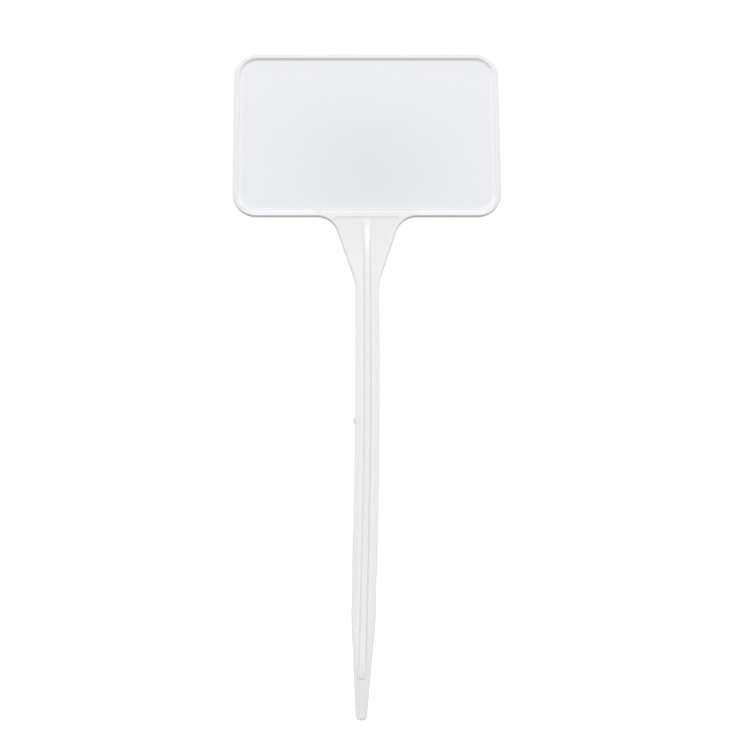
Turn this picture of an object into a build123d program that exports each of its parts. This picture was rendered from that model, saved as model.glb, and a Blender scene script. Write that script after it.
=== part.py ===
from build123d import *
import os
from math import atan2, cos, degrees, radians, sin

# Plant label on a stake: a wide label head with a recessed writing panel, a flared neck, a long
# ribbed stem and a blunt point. The real thing is one plastic moulding. It is divided here at its
# own feature lines, so that each feature is a closed solid that meets its neighbours face to face.
#
# Everything is drawn lying on its flat back, as it lies in the mould: x runs across the label,
# y runs up it from the tip, and z is the height above the back, towards the front. The last step
# stands each piece upright. Sizes are millimetres. A distance up the label is measured from the
# tip along the centre line of the stem, and a piece aside of that line is to its right.

# Label head
overall_length = 244.0
head_width = 100.0
head_height = 64.0
head_corner_radius = 8.8
panel_thickness = 1.0

# Raised border: the rim round the panel and the beads along the neck, the stem and the point
border_height = 1.8
border_edge_round = 0.5
rim_land_width = 1.7
rim_wall_run = 0.65
rim_foot_radius = 1.1
bead_land_width = 1.05
bead_wall_run = 0.35
land_edge_round = 0.2

# Neck
neck_root_width = 25.7
neck_length = 24.9
neck_root_radius = 8.0
neck_blend_radius = 18.0
root_run_out = 1.6

# The shallow pocket between the beads, whose floor is the web
web_thickness = 1.5
pocket_end_run = 0.9
pocket_top_corner_radius = 1.2
pocket_low_corner_radius = 0.4

# Stem and point
stem_width = 8.6
point_length = 34.4
point_end_width = 3.7
point_end_radius = 1.5
point_land_length = 1.6
point_shoulder_radius = 60.0

# Slight set that the stem takes as it cools: below a long gentle bend it leans to one side. The
# shares are of the stem's length: how far up it the bend's middle lies, and how long the bend is.
stem_lean_degrees = 1.6
bend_place_share = 0.56
bend_length_share = 0.55

# Stiffening rib down the middle of neck and stem
rib_height = 2.8
rib_foot_width = 3.0
rib_crest_width = 1.8
rib_crest_round = 0.2
rib_low_distance = 13.6
rib_low_ramp_length = 8.5
rib_rim_gap = 0.4
rib_top_ramp_length = 11.5
rib_ramp_blend_radius = 30.0
rib_end_height = 0.3

# Stub of the gate on the left edge of the stem
gate_distance = 103.6
gate_foot_length = 2.8
gate_end_length = 0.9
gate_reach = 0.75
gate_thickness = 0.9
gate_drop = 0.3
gate_end_round = 0.25

# How far a cutting or clipping shape runs past the surface that it cuts
overrun = 5.0

# A surface counts as facing the front when at least this share of its unit normal points there
front_facing_share = 0.9

# Distances that follow from the sizes above
root_distance = overall_length - head_height
flare_distance = root_distance - neck_length
head_centre_distance = overall_length - head_height / 2
stem_length = flare_distance - point_length
bend_distance = point_length + bend_place_share * stem_length
bend_length = bend_length_share * stem_length
rib_top_distance = root_distance - pocket_end_run - rib_rim_gap
rim_width = rim_land_width + rim_wall_run
panel_inset = rim_width + rim_foot_radius


def along(distance, aside=0):
    """The point at a distance up the centre line, and aside to the right of that line."""
    lean = radians(stem_lean_degrees)
    bend_radius = bend_length / lean
    bend_start = bend_distance - bend_length / 2
    below = min(distance, bend_start)
    bent = min(max(distance - bend_start, 0), bend_length)
    above = max(distance - bend_start - bend_length, 0)
    left_to_turn = lean - bent / bend_radius
    across = below * sin(lean) + bend_radius * (cos(left_to_turn) - cos(lean))
    up = below * cos(lean) + bend_radius * (sin(lean) - sin(left_to_turn)) + above
    return Vector(across + aside * cos(left_to_turn), up - aside * sin(left_to_turn))


def run(aside, low, high):
    """The line that keeps aside of the centre line between two distances, through the bend."""
    half_bend = bend_length / 2
    bend_start = along(bend_distance - half_bend, aside)
    bend_end = along(bend_distance + half_bend, aside)
    lower = Line(along(low, aside), bend_start)
    bend = ThreePointArc(bend_start, along(bend_distance, aside), bend_end)
    upper = Line(bend_end, along(high, aside))
    return [lower, bend, upper]


def rounded(face, places, radius):
    """The face with its corner nearest to each place rounded."""
    corners = [face.vertices().sort_by_distance(place)[0] for place in places]
    return fillet(corners, radius)


def both_sides(distance, half_width):
    """The two points that lie half a width to each side of the centre line."""
    return [along(distance, -half_width), along(distance, half_width)]


def moved_corner(distance, aside, slope_below, slope_above, inset):
    """Where a corner of the outline lies once the outline has shrunk by the inset.

    The slopes are those of the two edges that meet there, as degrees from the centre line.
    """
    middle = radians(slope_below + slope_above) / 2
    half_turn = radians(slope_above - slope_below) / 2
    reach = inset / cos(half_turn)
    return distance + reach * sin(middle), aside - reach * cos(middle)


def outline(inset=0):
    """The outline of the label, its tip still square, or the line that lies inset from it."""
    half_end, half_stem, half_root = point_end_width / 2, stem_width / 2, neck_root_width / 2
    point_slope = degrees(atan2(half_stem - half_end, point_length))
    neck_slope = degrees(atan2(half_root - half_stem, neck_length))
    square = 90
    tip = moved_corner(0, half_end, square, point_slope, inset)
    shoulder = moved_corner(point_length, half_stem, point_slope, 0, inset)
    flare = moved_corner(flare_distance, half_stem, 0, neck_slope, inset)
    root = moved_corner(root_distance, half_root, neck_slope, square, inset)
    tip_left, tip_right = both_sides(*tip)
    shoulder_left, shoulder_right = both_sides(*shoulder)
    flare_left, flare_right = both_sides(*flare)
    root_left, root_right = both_sides(*root)
    inside_left, inside_right = both_sides(head_centre_distance, root[1])
    edges = [
        Line(tip_left, tip_right),
        Line(tip_right, shoulder_right),
        *run(half_stem - inset, shoulder[0], flare[0]),
        Line(flare_right, root_right),
        Line(root_right, inside_right),
        Line(inside_right, inside_left),
        Line(inside_left, root_left),
        Line(root_left, flare_left),
        *run(inset - half_stem, shoulder[0], flare[0]),
        Line(shoulder_left, tip_left),
    ]
    face = make_face(edges) + head_face(inset)
    face = rounded(face, [root_left, root_right], neck_root_radius + inset)
    face = rounded(face, [flare_left, flare_right], neck_blend_radius + inset)
    return rounded(face, [shoulder_left, shoulder_right], point_shoulder_radius - inset)


def label_face():
    """The outline of the whole label, with its blunt tip rounded."""
    return rounded(outline(), both_sides(0, point_end_width / 2), point_end_radius)


def head_face(inset):
    """The rounded rectangle that lies inset from the edge of the label head."""
    radius = head_corner_radius - inset
    face = RectangleRounded(head_width - 2 * inset, head_height - 2 * inset, radius)
    return Pos(along(head_centre_distance)) * face


def pocket_face(depth_share):
    """The pocket between the beads of neck, stem and point, at a share of the way to its floor."""
    wall_run, end_run = depth_share * bead_wall_run, depth_share * pocket_end_run
    ends = stretch_face(point_land_length + end_run, root_distance - end_run)
    face = outline(bead_land_width + wall_run) & ends
    top_corners = face.vertices().sort_by(Axis.Y)[-2:]
    face = fillet(top_corners, pocket_top_corner_radius - wall_run)
    low_corners = face.vertices().sort_by(Axis.Y)[:2]
    return fillet(low_corners, pocket_low_corner_radius)


def stretch_face(low, high):
    """A face wider than the label that holds everything between two distances."""
    wide = head_width
    low_left, low_right = both_sides(low, wide)
    high_left, high_right = both_sides(high, wide)
    return make_face(Polyline(low_left, low_right, high_right, high_left, close=True))


def stretch(low, high):
    """A block that holds everything between two distances up the label."""
    return extrude(Pos(0, 0, -overrun) * stretch_face(low, high), rib_height + 2 * overrun)


def tapered(top_face, top, bottom_face, bottom):
    """The solid between two like outlines at two heights."""
    return loft([Pos(0, 0, bottom) * bottom_face, Pos(0, 0, top) * top_face], ruled=True)


def border():
    """The raised border all round: a rim at the head that runs on as beads down to the tip."""
    slab = extrude(label_face(), border_height)
    outer_edges = slab.faces().sort_by(Axis.Z)[-1].edges()
    slab = fillet(outer_edges, border_edge_round)
    slab -= panel_hollow()
    slab -= tapered(pocket_face(0), border_height, pocket_face(1), web_thickness)
    lands = slab.faces().filter_by(Axis.Z).group_by(Axis.Z)[-1]
    pocket_edges = [edge for land in lands for wire in land.inner_wires() for edge in wire.edges()]
    slab = fillet(pocket_edges, land_edge_round)
    return slab - label_panel() - web()


def panel_hollow():
    """The space inside the rim, over the panel, with the round that the rim has at its foot."""
    hollow = tapered(head_face(rim_land_width), border_height, head_face(rim_width), panel_thickness)
    return fillet(hollow.faces().sort_by(Axis.Z)[0].edges(), rim_foot_radius)


def label_panel():
    """The flat writing panel, which ends just short of the hollow at the foot of the rim."""
    return extrude(head_face(panel_inset), panel_thickness)


def web():
    """The thin floor between the beads, from the rim to the tip."""
    return extrude(pocket_face(1), web_thickness)


def label_rim(whole_border):
    """The rim round the panel, with the ends of the fillets that lead into the neck."""
    return whole_border & stretch(root_distance - root_run_out, overall_length + overrun)


def edge_beads(whole_border):
    """The left and the right bead, from the neck's root to the point."""
    beads = whole_border & stretch(point_length, root_distance - root_run_out)
    return beads.solids().sort_by(Axis.X)


def stake_point(whole_border):
    """The tapered point, with its floor and the bead that runs round its tip."""
    return (whole_border + web()) & stretch(-overrun, point_length)


def rib_face(half_width):
    """The outline of the rib at one height: two long sides between two round ends."""
    low_centre = rib_low_distance + rib_foot_width / 2
    top_centre = rib_top_distance - rib_foot_width / 2
    low_left, low_right = both_sides(low_centre, half_width)
    top_left, top_right = both_sides(top_centre, half_width)
    low_end = ThreePointArc(low_left, along(low_centre - half_width), low_right)
    top_end = ThreePointArc(top_left, along(top_centre + half_width), top_right)
    left_side = run(-half_width, low_centre, top_centre)
    right_side = run(half_width, low_centre, top_centre)
    return make_face([*left_side, top_end, *right_side, low_end])


def above_ramp(foot_distance, knee_distance):
    """A block that fills the space over a ramp, and over as long a stretch of the crest past it."""
    foot, knee = along(foot_distance), along(knee_distance)
    ramp_run = knee.Y - foot.Y
    on_crest, beyond = knee.Y + ramp_run, foot.Y - ramp_run
    low, high, above = web_thickness + rib_end_height, rib_height, rib_height + overrun
    corners = [(foot.Y, low), (knee.Y, high), (on_crest, high)]
    corners += [(on_crest, above), (beyond, above), (beyond, low)]
    side = make_face(Polyline(*corners, close=True))
    side = rounded(side, [(knee.Y, high)], rib_ramp_blend_radius)
    return Pos(foot.X, 0, 0) * extrude(Plane.YZ * side, rib_foot_width, both=True)


def centre_rib(whole_border):
    """The rib on the web: sloping flanks, rounded edges and at both ends a ramp down to the web."""
    foot, crest = rib_face(rib_foot_width / 2), rib_face(rib_crest_width / 2)
    rib = tapered(crest, rib_height, foot, web_thickness)
    rib -= above_ramp(rib_low_distance, rib_low_distance + rib_low_ramp_length)
    rib -= above_ramp(rib_top_distance, rib_top_distance - rib_top_ramp_length)
    front_faces = [face for face in rib.faces() if face.normal_at().Z > front_facing_share]
    edges = [edge for face in front_faces for edge in face.edges()]
    around = [edge for edge in edges if edges.count(edge) == 1]
    return fillet(around, rib_crest_round) - whole_border


def gate_mark():
    """The stub that is left on the edge where the gate was broken off."""
    edge = -stem_width / 2
    half_foot, half_end = gate_foot_length / 2, gate_end_length / 2
    corners = [
        along(gate_distance - half_foot, edge),
        along(gate_distance - half_end, edge - gate_reach),
        along(gate_distance + half_end, edge - gate_reach),
        along(gate_distance + half_foot, edge),
        along(gate_distance + half_foot, 0),
        along(gate_distance - half_foot, 0),
    ]
    stub = extrude(Pos(0, 0, gate_drop) * make_face(Polyline(*corners, close=True)), gate_thickness)
    end_edges = stub.faces().sort_by(Axis.X)[0].edges()
    stub = fillet(end_edges, gate_end_round)
    return stub - extrude(label_face(), border_height)


def main():
    whole_border = border()
    whole_web = web()
    left_edge_bead, right_edge_bead = edge_beads(whole_border)
    pieces = {
        "label_panel": label_panel(),
        "label_rim": label_rim(whole_border),
        "neck_web": whole_web & stretch(flare_distance, root_distance),
        "stem_web": whole_web & stretch(point_length, flare_distance),
        "left_edge_bead": left_edge_bead,
        "right_edge_bead": right_edge_bead,
        "centre_rib": centre_rib(whole_border),
        "stake_point": stake_point(whole_border),
        "gate_mark": gate_mark(),
    }
    os.makedirs("parts", exist_ok=True)
    for node, piece in pieces.items():
        export_step(Plane.XZ * piece, f"parts/{node}.step")
        print(node, round(piece.volume, 1), "mm3")


main()
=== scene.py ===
# %% [markdown]
# # A white plastic plant label on a stake
#
# This notebook dresses one moulding: a wide label head, a flared neck, a long ribbed stem and a
# blunt point. The shape is finished already, so the work here is all in the surface: what white
# polypropylene looks like where the mould was stoned smooth, where it was etched for a pencil, and
# where the stub was snapped off. A nearly white object on a white ground is hard to light, because
# its form only shows in small steps of grey. So the lights are as much a part of it as the plastic.

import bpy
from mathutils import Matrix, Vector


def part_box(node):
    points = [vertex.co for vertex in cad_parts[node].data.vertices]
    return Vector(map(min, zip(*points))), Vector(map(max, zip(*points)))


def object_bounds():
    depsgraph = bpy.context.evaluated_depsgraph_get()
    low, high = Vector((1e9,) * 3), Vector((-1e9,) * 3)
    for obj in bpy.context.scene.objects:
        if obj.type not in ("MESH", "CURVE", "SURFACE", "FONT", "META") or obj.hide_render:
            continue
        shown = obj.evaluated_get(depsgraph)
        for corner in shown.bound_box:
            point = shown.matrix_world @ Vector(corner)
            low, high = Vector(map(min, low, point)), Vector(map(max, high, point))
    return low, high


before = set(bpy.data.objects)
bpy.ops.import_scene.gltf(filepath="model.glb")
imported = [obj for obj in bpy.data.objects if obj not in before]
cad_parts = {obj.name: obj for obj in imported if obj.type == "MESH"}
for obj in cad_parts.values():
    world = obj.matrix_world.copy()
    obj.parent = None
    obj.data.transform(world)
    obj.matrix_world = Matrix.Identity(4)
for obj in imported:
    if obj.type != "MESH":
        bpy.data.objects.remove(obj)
solid_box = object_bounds()
print("pieces of the moulding:", ", ".join(sorted(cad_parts)))

# %% [markdown]
# ## Units, and a few helpers
#
# Blender measures in metres and a moulding is measured in millimetres, so one value turns the one
# into the other. Pattern sizes are given in millimetres too: a noise texture with a scale of 1 has
# blotches about a metre wide, so a pattern of a given width needs a scale of a thousand divided by
# that width. Colours are picked as the sRGB hex values that a screen shows, but a shader counts in
# linear light, so one function turns them over.

# %% Helpers for sizes and colours
import math

import bpy
from mathutils import Vector

MM = 0.001


def pattern_scale(width_mm):
    """The texture scale that gives blotches of this width."""
    return 1 / (width_mm * MM)


def linear(hex_colour):
    """An sRGB hex colour as linear red, green, blue and alpha."""
    channels = [int(hex_colour[i:i + 2], 16) / 255 for i in (1, 3, 5)]
    return [c / 12.92 if c <= 0.04045 else ((c + 0.055) / 1.055) ** 2.4 for c in channels] + [1.0]


print("a 2 mm pattern has the scale", pattern_scale(2.0))

# %% [markdown]
# ## One function for every node
#
# A material is a graph of nodes. Each node has settings, such as the kind of noise, and inputs,
# which hold a value or a link from another node. The function below adds one node and fills in
# both, so that each material reads from top to bottom like a recipe. An input is named by its
# label, or by its number where a node has several inputs with one label. The Mix node is such a
# node: for colours, input 0 is the share, 6 and 7 are the two colours, and output 2 is the result.
# A Map Range node runs from 0 to 1 unless it is told otherwise.

# %% The function that adds a node
def add(tree, kind, settings=None, inputs=None):
    """Adds a node, gives it its settings, and fills each input with a value or a link."""
    node = tree.nodes.new("ShaderNode" + kind)
    for name, value in (settings or {}).items():
        setattr(node, name, value)
    for name, value in (inputs or {}).items():
        if isinstance(value, bpy.types.NodeSocket):
            tree.links.new(value, node.inputs[name])
        else:
            node.inputs[name].default_value = value
    return node


def new_material(name):
    """An empty material, with the output that its surface will be linked to."""
    material = bpy.data.materials.new(name)
    material.use_nodes = True
    material.node_tree.nodes.clear()
    output = add(material.node_tree, "OutputMaterial")
    return material, material.node_tree, output


# Settings that come back often.
COLOURS = {"data_type": "RGBA"}
SMOOTH = {"interpolation_type": "SMOOTHSTEP"}
PRODUCT = {"operation": "MULTIPLY"}
SUM = {"operation": "ADD"}
WITHIN = {"operation": "COMPARE"}
TIMES_PLUS = {"operation": "MULTIPLY_ADD"}

satin, tree, output = new_material("satin_moulded_polypropylene")
print(satin.name, "starts with", [node.name for node in tree.nodes])

# %% [markdown]
# ## Satin polypropylene
#
# The rim, the beads, the rib and the thin floors between them are polypropylene, filled white and
# moulded against steel that was only stoned smooth. That gives the eye a soft sheen with no sharp
# reflection, a tone that wanders slightly because the plastic lets a little light in, and faint
# lines where it flowed down the long stem. It could be one colour with a middling roughness, but
# then the stem would look like paper. So the tone, the sheen and the relief each get their own
# pattern, at the size that it has on the real thing.

# %% Satin polypropylene: a tone that drifts
# Polypropylene has an index of refraction of 1.49. A stoned mould leaves a roughness near 0.5.
POLYPROPYLENE_IOR = 1.49
SATIN_ROUGHNESS = 0.5

# The melt is not quite even, so the white drifts over stretches as long as a thumb is wide.
satin_cloud_mm = 18.0


def satin_clouds(tree, place):
    """The soft blotches of an uneven melt."""
    return add(tree, "TexNoise", None, {
        "Vector": place, "Scale": pattern_scale(satin_cloud_mm), "Detail": 2.0, "Roughness": 0.5,
    }).outputs["Fac"]


def satin_white(tree, clouds):
    """The white of the satin skin where the wall is thin."""
    return add(tree, "Mix", COLOURS, {
        0: clouds, 6: linear("#EFF1F3"), 7: linear("#EBEDEE"),
    }).outputs[2]


place = add(tree, "TexCoord").outputs["Object"]
clouds = satin_clouds(tree, place)
white = satin_white(tree, clouds)
print("satin tone drifts over", satin_cloud_mm, "mm")

# %% [markdown]
# ### Painted light along the stem
#
# The real plastic is translucent: where it is thin the ground shows through, and where it is thick
# it looks whiter. Light scattered below the skin could do that by itself, but on walls of 1 to 3 mm
# it made the stem too dark here. So the tone is placed by position instead, with masks that come
# from the piece's own coordinates. That is painted light and shade, not the plastic's colour: it
# was matched to this light, and it stays where it is when the light changes. The first mask paints
# the long stem a little lighter than the neck and the point.

# %% Satin polypropylene: the whiter stem
position = add(tree, "SeparateXYZ", None, {"Vector": place})
height, depth = position.outputs["Z"], position.outputs["Y"]
point_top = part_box("stake_point")[1].z
neck_low, neck_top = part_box("neck_web")[0].z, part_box("neck_web")[1].z
above_point = add(tree, "MapRange", SMOOTH, {
    "Value": height, "From Min": point_top / 4, "From Max": point_top,
}).outputs["Result"]
below_head = add(tree, "MapRange", SMOOTH, {
    "Value": height, "From Min": neck_low, "From Max": neck_top, "To Min": 1.0, "To Max": 0.0,
}).outputs["Result"]
stem_painted_light = add(tree, "Math", PRODUCT, {0: above_point, 1: below_head}).outputs["Value"]
# Painted light: the stem between the point and the neck is painted lighter than both.
white = add(tree, "Mix", COLOURS, {0: stem_painted_light, 6: white, 7: linear("#F2F4F4")}).outputs[2]
print("whitest from", round(point_top / MM), "to", round(neck_low / MM), "mm above the tip")

# %% [markdown]
# ### The rib
#
# The rib down the middle is the thickest wall of all, and its two long ramps, under the rim and in
# the point, turn up to the light. Rib and ramps are painted whiter, a painted highlight. It could
# be given a material of its own, but then a line would show where it meets the floor. Only the rib
# stands higher than the land of the rim, so its height alone picks it out, and the painted
# highlight can fade in over the last part of the rise.

# %% Satin polypropylene: the whiter rib and its ramps
rib_highlight_share = 0.85
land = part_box("label_rim")[0].y
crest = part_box("centre_rib")[0].y
rib_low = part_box("centre_rib")[0].z
# Painted highlight: the rib is painted whiter, and its ramps whiter still.
rib_painted_highlight = add(tree, "MapRange", SMOOTH, {
    "Value": depth, "From Min": land, "From Max": (land + crest) / 2,
    "To Min": 0.0, "To Max": rib_highlight_share,
}).outputs["Result"]
top_ramp_highlight = add(tree, "MapRange", SMOOTH, {
    "Value": height, "From Min": neck_low, "From Max": neck_top,
}).outputs["Result"]
low_ramp_highlight = add(tree, "MapRange", SMOOTH, {
    "Value": height, "From Min": rib_low, "From Max": point_top, "To Min": 1.0, "To Max": 0.0,
}).outputs["Result"]
ramp_painted_highlight = add(tree, "Math", SUM, {0: top_ramp_highlight, 1: low_ramp_highlight}).outputs["Value"]
rib_highlight_colour = add(tree, "Mix", COLOURS, {
    0: ramp_painted_highlight, 6: linear("#F3F5F4"), 7: linear("#FFFFFF"),
}).outputs[2]
white = add(tree, "Mix", COLOURS, {0: rib_painted_highlight, 6: white, 7: rib_highlight_colour}).outputs[2]
print("the rib stands", round((land - crest) / MM, 2), "mm above the land of the rim")

# %% [markdown]
# ### The edge of the etching
#
# The etched part of the mould reaches a little past the panel, up to where the rim begins to rise.
# That flat strip belongs to the rim's piece, so without this step a line would show where the panel
# ends. The strip is found as the place that lies level with the panel and faces the front.

# %% Satin polypropylene: the etched strip round the panel
rise = 0.1 * MM
panel_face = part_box("label_panel")[0].y
at_panel = add(tree, "MapRange", None, {
    "Value": depth, "From Min": panel_face - rise, "From Max": panel_face,
}).outputs["Result"]
facing = add(tree, "SeparateXYZ", None, {"Vector": add(tree, "NewGeometry").outputs["Normal"]})
facing_front = add(tree, "MapRange", None, {
    "Value": facing.outputs["Y"], "From Min": -1.0, "From Max": -0.8, "To Min": 1.0, "To Max": 0.0,
}).outputs["Result"]
etched_edge = add(tree, "Math", PRODUCT, {0: at_panel, 1: facing_front}).outputs["Value"]
white = add(tree, "Mix", COLOURS, {0: etched_edge, 6: white, 7: linear("#EFF1F6")}).outputs[2]
print("the strip ends where the rim has risen by", round(rise / MM, 2), "mm")

# %% [markdown]
# ### Small steps that light comes through
#
# Where the neck meets the rim, where the rib ends and at the very tip there are steps of less than
# a millimetre that look down. In this light they would turn into dark lines, but in the photograph
# they stay pale, most likely because light comes through so thin an edge. Each one is found by its
# height and by the way that it faces. The step at the neck is kept to the width of the neck, so
# that the rim's outer wall beside it stays grey.

# %% Satin polypropylene: pale steps
step_reach = 1.5 * MM
neck_half = 13.0 * MM
neck_fade = 1.0 * MM
facing_down = add(tree, "MapRange", None, {
    "Value": facing.outputs["Z"], "From Min": -0.4, "From Max": -0.1, "To Min": 1.0, "To Max": 0.0,
}).outputs["Result"]
head_middle = (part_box("label_rim")[0].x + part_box("label_rim")[1].x) / 2
sideways = add(tree, "Math", {"operation": "SUBTRACT"}, {
    0: position.outputs["X"], 1: head_middle,
}).outputs["Value"]
sideways = add(tree, "Math", {"operation": "ABSOLUTE"}, {0: sideways}).outputs["Value"]
over_neck = add(tree, "MapRange", None, {
    "Value": sideways, "From Min": neck_half, "From Max": neck_half + neck_fade,
    "To Min": 1.0, "To Max": 0.0,
}).outputs["Result"]
at_neck_top = add(tree, "Math", WITHIN, {0: height, 1: neck_top, 2: step_reach}).outputs["Value"]
at_rib_end = add(tree, "Math", WITHIN, {0: height, 1: rib_low, 2: step_reach}).outputs["Value"]
at_tip_end = add(tree, "Math", WITHIN, {0: height, 1: 0.0, 2: step_reach}).outputs["Value"]
at_steps = add(tree, "Math", PRODUCT, {0: at_neck_top, 1: over_neck}).outputs["Value"]
for one_step in (at_rib_end, at_tip_end):
    at_steps = add(tree, "Math", SUM, {0: at_steps, 1: one_step}).outputs["Value"]
# Painted light: the small steps that face down are painted white where they would lie in shade.
lit_steps = add(tree, "Math", PRODUCT, {0: at_steps, 1: facing_down}).outputs["Value"]
white = add(tree, "Mix", COLOURS, {0: lit_steps, 6: white, 7: linear("#FFFFFF")}).outputs[2]
print("pale steps at", [round(z / MM, 1) for z in (neck_top, rib_low, 0.0)], "mm above the tip")

# %% [markdown]
# ### The wall at the panel's foot
#
# Below the panel the rim's inner wall turns up to the light and would shine brighter than anything
# else on the label. In the photograph it hardly stands out, perhaps because part of the light goes
# on into the plastic. So the wall is made greyer, and most of all over the neck, where the
# photograph shows it darkest. Less light would have the same effect, but on all the label at once.

# %% Satin polypropylene: the greyer wall at the panel's foot
beside_from, beside_to = 17.0 * MM, 22.0 * MM
panel_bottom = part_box("label_panel")[0].z
beside_neck = add(tree, "MapRange", SMOOTH, {
    "Value": sideways, "From Min": beside_from, "From Max": beside_to,
}).outputs["Result"]
facing_up = add(tree, "MapRange", None, {
    "Value": facing.outputs["Z"], "From Min": 0.05, "From Max": 0.25,
}).outputs["Result"]
at_foot = add(tree, "Math", WITHIN, {0: height, 1: panel_bottom, 2: step_reach}).outputs["Value"]
shaded_foot_wall = add(tree, "Math", PRODUCT, {0: at_foot, 1: facing_up}).outputs["Value"]
# Painted shade: the wall at the panel's foot, which faces up, is painted greyer, most over the
# neck.
foot_wall_painted_shade = add(tree, "Mix", COLOURS, {
    0: beside_neck, 6: linear("#DADDE1"), 7: linear("#E3E7ED"),
}).outputs[2]
white = add(tree, "Mix", COLOURS, {0: shaded_foot_wall, 6: white, 7: foot_wall_painted_shade}).outputs[2]
print("the panel's foot is", round(panel_bottom / MM, 1), "mm above the tip")

# %% [markdown]
# ### The lower border
#
# The flat land under that wall is as thick as the rim gets, and in the photograph it is the
# whitest part of the border, with a trace of blue beside the neck. It lies between the top of the
# neck and the wall, and it faces the front, so two heights and a direction pick it out.
# Its whiteness is painted light, not a colour of the plastic.

# %% Satin polypropylene: the whiter lower border
land_ends, land_is_full = 1.1 * MM, 1.4 * MM
neck_blend = 0.5 * MM
below_wall = add(tree, "MapRange", None, {
    "Value": height, "From Min": panel_bottom - land_is_full, "From Max": panel_bottom - land_ends,
    "To Min": 1.0, "To Max": 0.0,
}).outputs["Result"]
above_neck = add(tree, "MapRange", None, {
    "Value": height, "From Min": neck_top, "From Max": neck_top + neck_blend,
}).outputs["Result"]
lower_land_painted_light = add(tree, "Math", PRODUCT, {0: above_neck, 1: below_wall}).outputs["Value"]
lower_land_painted_light = add(tree, "Math", PRODUCT, {0: lower_land_painted_light, 1: facing_front}).outputs["Value"]
# Painted light: the lower land is painted whiter than the rest of the border.
lower_land_light_colour = add(tree, "Mix", COLOURS, {
    0: beside_neck, 6: linear("#F2F4F6"), 7: linear("#F6F9FF"),
}).outputs[2]
white = add(tree, "Mix", COLOURS, {0: lower_land_painted_light, 6: white, 7: lower_land_light_colour}).outputs[2]
print("the lower land is", round((panel_bottom - land_ends - neck_top) / MM, 1), "mm high")

# %% [markdown]
# ### Side walls and the slope at the tip
#
# In the photograph the rim's inner walls at the sides are a little whiter than this light makes
# them, most likely because light reaches them through the thin panel. The slope that closes the
# pocket at the tip is the opposite case: left as bright as it comes out, it would look like a hole
# through the point. The same kind of mask, a place and a direction, serves both.

# %% Satin polypropylene: side walls and the slope at the tip
rim_inner_side = 48.2 * MM
side_fade = 0.4 * MM
side_wall_light_share = 0.6
tip_slope_height = 2.0 * MM
facing_side = add(tree, "MapRange", None, {
    "Value": add(tree, "Math", {"operation": "ABSOLUTE"}, {
        0: facing.outputs["X"],
    }).outputs["Value"],
    "From Min": 0.1, "From Max": 0.5, "To Min": 0.0, "To Max": side_wall_light_share,
}).outputs["Result"]
inside_rim = add(tree, "MapRange", None, {
    "Value": sideways, "From Min": rim_inner_side, "From Max": rim_inner_side + side_fade,
    "To Min": 1.0, "To Max": 0.0,
}).outputs["Result"]
above_foot = add(tree, "MapRange", None, {
    "Value": height, "From Min": panel_bottom - MM, "From Max": panel_bottom + MM,
}).outputs["Result"]
side_wall_painted_light = add(tree, "Math", PRODUCT, {0: facing_side, 1: inside_rim}).outputs["Value"]
side_wall_painted_light = add(tree, "Math", PRODUCT, {0: side_wall_painted_light, 1: above_foot}).outputs["Value"]
# Painted light: the rim's inner side walls are painted whiter.
white = add(tree, "Mix", COLOURS, {0: side_wall_painted_light, 6: white, 7: linear("#FFFFFF")}).outputs[2]

at_tip = add(tree, "Math", WITHIN, {
    0: height, 1: tip_slope_height, 2: step_reach,
}).outputs["Value"]
tip_slope_painted_shade = add(tree, "Math", PRODUCT, {0: at_tip, 1: facing_up}).outputs["Value"]
# Painted shade: the slope at the tip, which faces up, is painted darker.
white = add(tree, "Mix", COLOURS, {0: tip_slope_painted_shade, 6: white, 7: linear("#E0E2E2")}).outputs[2]
print("side walls are whitened up to", round(rim_inner_side / MM, 1), "mm from the middle")

# %% [markdown]
# ### Lines of flow
#
# The plastic was let in at one edge of the stem and ran both ways, so its skin carries lines along
# the stem that are many times longer than they are wide. A noise texture makes them when its
# coordinates are squeezed along the stem before they reach it.

# %% Satin polypropylene: lines of flow
flow_width_mm = 0.9
flow_length_share = 0.03
flow_shift = (1.5 * MM, 0.0, 0.0)


def flow_pattern(tree, place):
    """Lines along the stem, with a value from 0 to 1 across them."""
    squeezed = add(tree, "Mapping", None, {
        "Vector": place, "Location": flow_shift, "Scale": (1.0, 1.0, flow_length_share),
    }).outputs["Vector"]
    return add(tree, "TexNoise", None, {
        "Vector": squeezed, "Scale": pattern_scale(flow_width_mm), "Detail": 3.0, "Roughness": 0.55,
    }).outputs["Fac"]


def with_flow_lines(tree, flow, white):
    """The white with its flow lines, slightly greyer where the pattern is high."""
    share = add(tree, "MapRange", None, {
        "Value": flow, "From Min": 0.5, "From Max": 0.75, "To Min": 0.0, "To Max": 0.25,
    }).outputs["Result"]
    return add(tree, "Mix", COLOURS, {0: share, 6: white, 7: linear("#E4E7E6")}).outputs[2]


flow = flow_pattern(tree, place)
white = with_flow_lines(tree, flow, white)
print("flow lines", flow_width_mm, "mm wide and about",
      round(flow_width_mm / flow_length_share), "mm long")

# %% [markdown]
# ### Fine relief
#
# Stoning the steel leaves fine marks on the plastic, and the flow lines stand out of it by a few
# thousandths of a millimetre. Both could be real geometry, but they are far too small for a mesh,
# so a bump turns them into small changes of the way that the skin faces.

# %% Satin polypropylene: fine relief
# Stoning leaves marks of about 0.05 mm. They are drawn at 0.4 mm, as fine as the picture can show.
stone_width_mm = 0.4
flow_relief_share = 0.6


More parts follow.
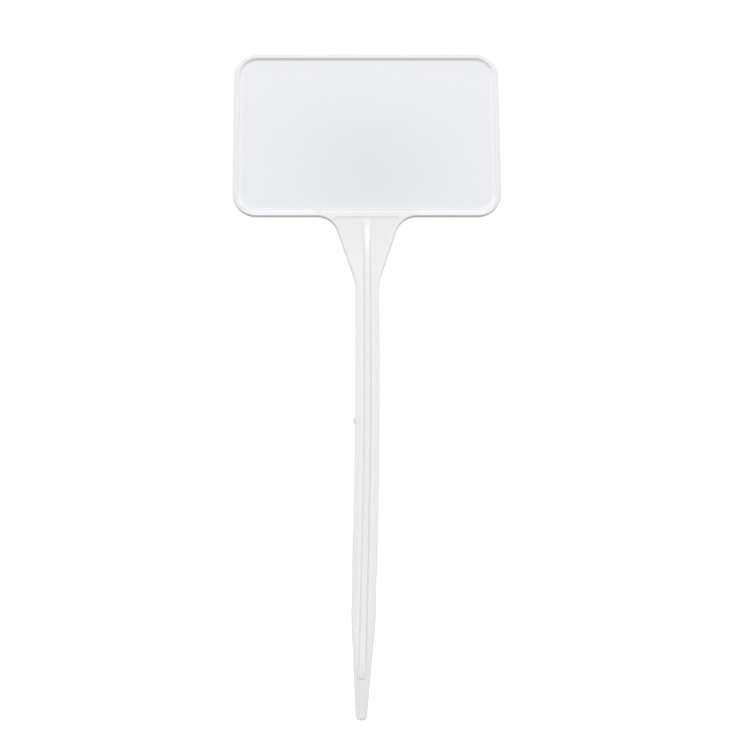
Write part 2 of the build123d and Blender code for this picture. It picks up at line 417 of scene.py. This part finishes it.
def stoned_relief(tree, place, flow):
    """The fine relief of a stoned mould, with the flow lines standing out of it."""
    stoning = add(tree, "TexNoise", None, {
        "Vector": place, "Scale": pattern_scale(stone_width_mm), "Detail": 2.0, "Roughness": 0.6,
    }).outputs["Fac"]
    heights = add(tree, "Math", TIMES_PLUS, {
        0: flow, 1: flow_relief_share, 2: stoning,
    }).outputs["Value"]
    return add(tree, "Bump", None, {
        "Height": heights, "Strength": 0.35, "Distance": 0.012 * MM,
    }).outputs["Normal"]


relief = stoned_relief(tree, place, flow)
print("stoning marks", stone_width_mm, "mm wide")

# %% [markdown]
# ### Rubbed lands
#
# Labels are packed in stacks, so the highest places rub against the next one and turn a little
# shinier. Those places are found by how far they stand out from the back. The wear follows the same
# soft blotches as the tone, because a land never rubs evenly.

# %% Satin polypropylene: rubbed lands
rubbed_depth = 0.2 * MM
rubbed_shine = 0.1
flow_dullness = 0.10
rubbed = add(tree, "MapRange", SMOOTH, {
    "Value": depth, "From Min": land, "From Max": land + rubbed_depth, "To Min": 1.0, "To Max": 0.0,
}).outputs["Result"]
worn = add(tree, "Math", PRODUCT, {0: rubbed, 1: clouds}).outputs["Value"]
roughness = add(tree, "MapRange", None, {
    "Value": worn, "To Min": SATIN_ROUGHNESS, "To Max": SATIN_ROUGHNESS - rubbed_shine,
}).outputs["Result"]
roughness = add(tree, "Math", TIMES_PLUS, {
    0: flow, 1: flow_dullness, 2: roughness,
}).outputs["Value"]
print("lands are rubbed to a depth of", rubbed_depth / MM, "mm")

# %% [markdown]
# ### Specks, and the finished surface
#
# A moulding carries a few tiny dark specks of scorched plastic. They could be set by hand, one by
# one, but a cell pattern scatters them evenly when only the very centre of each cell is tinted.
# Then tone, sheen and relief meet in one surface.

# %% Satin polypropylene: specks and the finished surface
speck_spacing_mm = 11.0
speck_radius_mm = 0.14
speck_strength = 0.45


def with_specks(tree, place, white):
    """The white with a tiny scorched speck in each cell of a cell pattern."""
    centres = add(tree, "TexVoronoi", {"feature": "F1"}, {
        "Vector": place, "Scale": pattern_scale(speck_spacing_mm), "Randomness": 1.0,
    }).outputs["Distance"]
    speck_edge_share = speck_radius_mm / speck_spacing_mm
    specks = add(tree, "MapRange", None, {
        "Value": centres, "From Min": speck_edge_share, "From Max": 2 * speck_edge_share,
        "To Min": speck_strength, "To Max": 0.0,
    }).outputs["Result"]
    return add(tree, "Mix", COLOURS, {0: specks, 6: white, 7: linear("#A9A49B")}).outputs[2]


surface = add(tree, "BsdfPrincipled", None, {
    "Base Color": with_specks(tree, place, white), "Roughness": roughness,
    "IOR": POLYPROPYLENE_IOR, "Normal": relief,
})
tree.links.new(surface.outputs["BSDF"], output.inputs["Surface"])
print("specks", speck_radius_mm, "mm in radius, about one to", speck_spacing_mm, "mm")

# %% [markdown]
# ## Etched polypropylene
#
# The panel inside the rim is the same plastic, but its side of the mould was etched, so that a
# pencil or a marker takes. Etching breaks the surface into tiny pits, and to the eye the panel
# turns flat and a little cool: it scatters what falls on it and shows no sheen. The panel is also
# the thinnest and widest wall, so the ground behind it shows through by a trace, most in its
# middle, away from the thick rim. That trace and the way light falls across the panel are painted
# shade: darker towards a point below the middle, lighter by the rim. The cool tint is its own.

# %% Etched polypropylene: the tone of the panel
ETCHED_ROUGHNESS = 0.72
etched_cloud_mm = 26.0
cloud_share = 0.35

etched, tree, output = new_material("etched_moulded_polypropylene")
place = add(tree, "TexCoord").outputs["Object"]

panel_low, panel_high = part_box("label_panel")
panel_centre = (panel_low + panel_high) / 2
panel_half = (panel_high - panel_low) / 2
print("panel", round(2 * panel_half.x / MM, 1), "by", round(2 * panel_half.z / MM, 1), "mm")

# Painted shade: the panel is painted darker towards a point below its middle and lighter by the
# rim.
# Distance from a point under the middle, counted as a share of the way out to the rim.
shade_centre_drop = 12.0 * MM
panel_shade_centre = Vector((panel_centre.x, panel_centre.y, panel_centre.z - shade_centre_drop))
outwards = add(tree, "Mapping", {"vector_type": "POINT"}, {
    "Vector": add(tree, "VectorMath", {"operation": "SUBTRACT"}, {
        0: place, 1: panel_shade_centre,
    }).outputs["Vector"],
    "Scale": (1 / panel_half.x, 0.0, 1 / (panel_half.z + shade_centre_drop)),
}).outputs["Vector"]
out_share = add(tree, "VectorMath", {"operation": "LENGTH"}, {0: outwards}).outputs["Value"]
clouds = add(tree, "TexNoise", None, {
    "Vector": place, "Scale": pattern_scale(etched_cloud_mm), "Detail": 2.0, "Roughness": 0.5,
}).outputs["Fac"]
out_share = add(tree, "Math", TIMES_PLUS, {
    0: clouds, 1: cloud_share, 2: out_share,
}).outputs["Value"]
panel_shade_share = add(tree, "MapRange", SMOOTH, {
    "Value": out_share, "From Min": 0.15, "From Max": 1.25,
}).outputs["Result"]
cool_white = add(tree, "Mix", COLOURS, {
    0: panel_shade_share, 6: linear("#E6EAEF"), 7: linear("#EFF1F6"),
}).outputs[2]

# %% [markdown]
# ### Etched grain
#
# Real etching has pits of a twentieth of a millimetre. In a picture where a millimetre is under
# three pixels they would vanish, so they are drawn eight times as coarse and kept very shallow. The
# bottoms of the pits hold a little shade, so they are tinted as well as sunk.

# %% Etched polypropylene: grain
pit_width_mm = 0.4
pit_shade = 0.10
pits = add(tree, "TexNoise", None, {
    "Vector": place, "Scale": pattern_scale(pit_width_mm), "Detail": 3.0, "Roughness": 0.65,
}).outputs["Fac"]
grain = add(tree, "Bump", None, {
    "Height": pits, "Strength": 0.5, "Distance": 0.02 * MM,
}).outputs["Normal"]
pit_tone = add(tree, "MapRange", None, {
    "Value": pits, "From Min": 0.3, "From Max": 0.7, "To Min": pit_shade, "To Max": 0.0,
}).outputs["Result"]
cool_white = add(tree, "Mix", COLOURS, {
    0: pit_tone, 6: cool_white, 7: linear("#CDD2D9"),
}).outputs[2]
print("etched pits drawn", pit_width_mm, "mm wide")

# %% [markdown]
# ### Rubbed streaks
#
# The panel lies below the rim, so a flat stack can't rub it. But fingers and the edges of other
# labels slide across it and polish a few slanted streaks, which show as a slightly stronger sheen
# and not as a colour. A noise texture gives them when it is stretched sideways and turned a little.

# %% Etched polypropylene: rubbed streaks
streak_width_mm = 1.6
streak_slant = 0.35
streak_stretch = 0.05
streak_shine = 0.14
slanted = add(tree, "Mapping", None, {
    "Vector": place, "Rotation": (0.0, streak_slant, 0.0), "Scale": (streak_stretch, 1.0, 1.0),
}).outputs["Vector"]
streaks = add(tree, "TexNoise", None, {
    "Vector": slanted, "Scale": pattern_scale(streak_width_mm), "Detail": 2.0, "Roughness": 0.5,
}).outputs["Fac"]
roughness = add(tree, "MapRange", None, {
    "Value": streaks, "From Min": 0.55, "From Max": 0.8,
    "To Min": ETCHED_ROUGHNESS, "To Max": ETCHED_ROUGHNESS - streak_shine,
}).outputs["Result"]
print("streaks", streak_width_mm, "mm wide, at", round(math.degrees(streak_slant)), "degrees")

# %% [markdown]
# ### The smooth back of the panel
#
# Only the front half of the mould was etched. The back of the panel is satin like the rest of the
# back, and if it weren't, the panel would show there as a rectangle of its own. Two surfaces could
# be mixed, but one surface with mixed colour, roughness and relief does the same and is simpler to
# pass on to other programs. The way that the skin faces decides which one shows.

# %% Etched polypropylene: the smooth back of the panel
flow = flow_pattern(tree, place)
white = with_flow_lines(tree, flow, satin_white(tree, satin_clouds(tree, place)))
back_roughness = add(tree, "Math", TIMES_PLUS, {
    0: flow, 1: flow_dullness, 2: SATIN_ROUGHNESS,
}).outputs["Value"]
facing = add(tree, "SeparateXYZ", None, {"Vector": add(tree, "NewGeometry").outputs["Normal"]})
facing_back = add(tree, "MapRange", None, {
    "Value": facing.outputs["Y"], "From Min": -1.0, "From Max": 1.0,
}).outputs["Result"]
both_colours = add(tree, "Mix", COLOURS, {
    0: facing_back, 6: cool_white, 7: with_specks(tree, place, white),
}).outputs[2]
both_roughnesses = add(tree, "Mix", None, {
    0: facing_back, 2: roughness, 3: back_roughness,
}).outputs[0]
both_reliefs = add(tree, "Mix", {"data_type": "VECTOR"}, {
    0: facing_back, 4: grain, 5: stoned_relief(tree, place, flow),
}).outputs[1]
surface = add(tree, "BsdfPrincipled", None, {
    "Base Color": both_colours, "Roughness": both_roughnesses,
    "IOR": POLYPROPYLENE_IOR, "Normal": both_reliefs,
})
tree.links.new(surface.outputs["BSDF"], output.inputs["Surface"])
print(etched.name, "has", len(tree.nodes), "nodes")

# %% [markdown]
# ## Snapped polypropylene
#
# The small stub on the left edge of the stem is where the plastic was let into the mould. It was
# snapped off, not cut, so its skin is torn and dull, and the torn plastic has picked up a trace of
# yellow. It gets its own finish, because a torn place is rough at a much larger scale than a
# moulded one.

# %% Snapped polypropylene
tear_width_mm = 0.25
snapped, tree, output = new_material("snapped_polypropylene")
place = add(tree, "TexCoord").outputs["Object"]
tears = add(tree, "TexNoise", None, {
    "Vector": place, "Scale": pattern_scale(tear_width_mm), "Detail": 4.0, "Roughness": 0.7,
}).outputs["Fac"]
torn_relief = add(tree, "Bump", None, {
    "Height": tears, "Strength": 0.8, "Distance": 0.08 * MM,
}).outputs["Normal"]
torn_white = add(tree, "Mix", COLOURS, {
    0: tears, 6: linear("#F0EFE6"), 7: linear("#E4E2D4"),
}).outputs[2]
surface = add(tree, "BsdfPrincipled", None, {
    "Base Color": torn_white, "Roughness": 0.8, "IOR": POLYPROPYLENE_IOR, "Normal": torn_relief,
})
tree.links.new(surface.outputs["BSDF"], output.inputs["Surface"])
print("tears", tear_width_mm, "mm wide")

# %% [markdown]
# ## Put each finish where it belongs
#
# The pieces came in with a plain stand-in finish each. Their shapes stay as they are, so it is
# enough to swap the material in each piece's own slot.

# %% Assign the finishes
for name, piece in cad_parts.items():
    finish = {"label_panel": etched, "gate_mark": snapped}.get(name, satin)
    for material_slot in piece.material_slots:
        material_slot.material = finish
    print(name, "is", finish.name)

# %% [markdown]
# ## The ground
#
# The label stands on a plain white floor, in front of an equally white surround, so that only the
# plastic has a tone. A floor could be made white by pouring light on it, but that light would
# bleach the label as well. Instead the floor glows a little, and only for rays that come straight
# from the camera, from a glossy surface or through glass. The surround uses the same rule.

# %% Rays that see the white ground
def seen_directly(tree):
    """1 for rays from the camera, from glossy surfaces and through glass, and 0 for the rest."""
    rays = add(tree, "LightPath")
    seen = add(tree, "Math", {"operation": "MAXIMUM"}, {
        0: rays.outputs["Is Camera Ray"], 1: rays.outputs["Is Glossy Ray"],
    }).outputs["Value"]
    return add(tree, "Math", {"operation": "MAXIMUM"}, {
        0: seen, 1: rays.outputs["Is Transmission Ray"],
    }).outputs["Value"]


floor_material, tree, output = new_material("matt_white_floor")
glow_is_seen = seen_directly(tree)
print(floor_material.name, "has", len(tree.nodes), "nodes so far")

# %% [markdown]
# ### The floor
#
# The rest of the floor's brightness is ordinary light on a matt surface, and that is the part in
# which the label's soft shadow shows. As a matt surface the floor is a mid grey, so it throws
# little light up into the faces that look down. The lamp's light thins out away from the label, so
# the glow makes up for it further out.

# %% The floor
low, high = solid_box
floor_radius = 1.4
glow_starts = 0.1
glow_near, glow_far = 0.80, 0.90
place = add(tree, "TexCoord").outputs["Object"]
matt = add(tree, "BsdfDiffuse", None, {"Color": linear("#A8A4A0")}).outputs["BSDF"]
distance = add(tree, "VectorMath", {"operation": "LENGTH"}, {0: place}).outputs["Value"]
glow = add(tree, "MapRange", None, {
    "Value": distance, "From Min": glow_starts, "From Max": floor_radius,
    "To Min": glow_near, "To Max": glow_far,
}).outputs["Result"]
glow = add(tree, "Math", PRODUCT, {0: glow, 1: glow_is_seen}).outputs["Value"]
glowing = add(tree, "Emission", None, {"Strength": glow}).outputs["Emission"]
both = add(tree, "AddShader", None, {0: matt, 1: glowing}).outputs["Shader"]
tree.links.new(both, output.inputs["Surface"])

floor_mesh = bpy.data.meshes.new("floor")
corners = [(-1, -1), (1, -1), (1, 1), (-1, 1)]
floor_mesh.from_pydata(
    [(x * floor_radius, y * floor_radius, low.z) for x, y in corners], [], [(0, 1, 2, 3)])
floor_mesh.materials.append(floor_material)
floor = bpy.data.objects.new("floor", floor_mesh)
bpy.context.scene.collection.objects.link(floor)
print("floor at", round(low.z / MM, 3), "mm")

# %% [markdown]
# ## Light
#
# The photograph has the light of a bright room that comes mostly from above: faces that look up are
# almost white, faces that look down are grey, and no edge casts a hard shadow. A lamp gives that
# direction, and the surround gives the rest. The surround is a little brighter overhead. It is also
# brighter behind the label, where the lamp doesn't reach, so that the back isn't left dark when the
# label is turned. The camera still sees it as plain white.

# %% The surround
level_at_sides = 0.735
rise_overhead = 0.1
rise_behind = 0.25
world = bpy.data.worlds.new("white_room")
world.use_nodes = True
bpy.context.scene.world = world
tree = world.node_tree
tree.nodes.clear()
direction = add(tree, "TexCoord").outputs["Generated"]
parts = add(tree, "SeparateXYZ", None, {"Vector": direction})
room_level = add(tree, "Math", TIMES_PLUS, {
    0: parts.outputs["Z"], 1: rise_overhead, 2: level_at_sides,
}).outputs["Value"]
behind = add(tree, "Math", {"operation": "MAXIMUM"}, {
    0: parts.outputs["Y"], 1: 0.0,
}).outputs["Value"]
room_level = add(tree, "Math", TIMES_PLUS, {
    0: behind, 1: rise_behind, 2: room_level,
}).outputs["Value"]
room = add(tree, "Background", None, {
    "Color": linear("#FFFFFF"), "Strength": room_level,
}).outputs["Background"]
white_room = add(tree, "Background", None, {
    "Color": linear("#FFFFFF"), "Strength": 1.0,
}).outputs["Background"]
mixed = add(tree, "MixShader", None, {
    0: seen_directly(tree), 1: room, 2: white_room,
}).outputs["Shader"]
world_output = add(tree, "OutputWorld")
tree.links.new(mixed, world_output.inputs["Surface"])
print("surround", level_at_sides, "at the sides and", level_at_sides + rise_overhead, "overhead")

# %% [markdown]
# ### The lamp
#
# The lamp hangs in front of the label and well above it, like a wide window behind the camera.
# It is two metres wide because a small one would draw hard shadows beside the beads and the rib.
# Lamp and surround together light an upright face with about one unit, the level at which a colour
# comes out as it was written.

# %% The lamp
lamp_data = bpy.data.lights.new("wide_lamp", "AREA")
lamp_data.shape = "RECTANGLE"
lamp_data.size = 2.0
lamp_data.size_y = 1.2
lamp_data.energy = 41.6
lamp = bpy.data.objects.new("wide_lamp", lamp_data)
lamp.location = (-0.12, -2.4, 2.1)
middle = (low + high) / 2
lamp.rotation_euler = (middle - lamp.location).to_track_quat("-Z", "Y").to_euler()
bpy.context.scene.collection.objects.link(lamp)
print("lamp", round((middle - lamp.location).length, 2), "m from the label")

# %% [markdown]
# ## Camera
#
# The head and the stem both widen downwards in the photograph, by the same share. That is what a
# camera shows when it stands low and looks up: here by 9 degrees. A 50 mm lens on a 36 mm wide
# sensor is a common choice for a product this size, and it puts the camera about 37 cm away. The
# camera stands a little to the left, and a small shift of the lens brings the label back to the
# middle without turning it.

# %% The camera
camera_data = bpy.data.cameras.new("camera")
camera_data.lens = 50.0
camera_data.sensor_width = 36.0
camera_data.shift_x = 0.05
camera_data.clip_start = 0.01
camera = bpy.data.objects.new("camera", camera_data)

camera_distance = 375.3 * MM
looks_up = math.radians(9.0)
aimed_at = Vector((-9.3 * MM, -1.6 * MM, 121.0 * MM))
view_direction = Vector((0, math.cos(looks_up), math.sin(looks_up)))
camera.location = aimed_at - camera_distance * view_direction
camera.rotation_euler = view_direction.to_track_quat("-Z", "Y").to_euler()
bpy.context.scene.collection.objects.link(camera)
bpy.context.scene.camera = camera
bpy.context.scene.view_settings.view_transform = "Standard"
print("camera", [round(value / MM, 1) for value in camera.location], "mm")
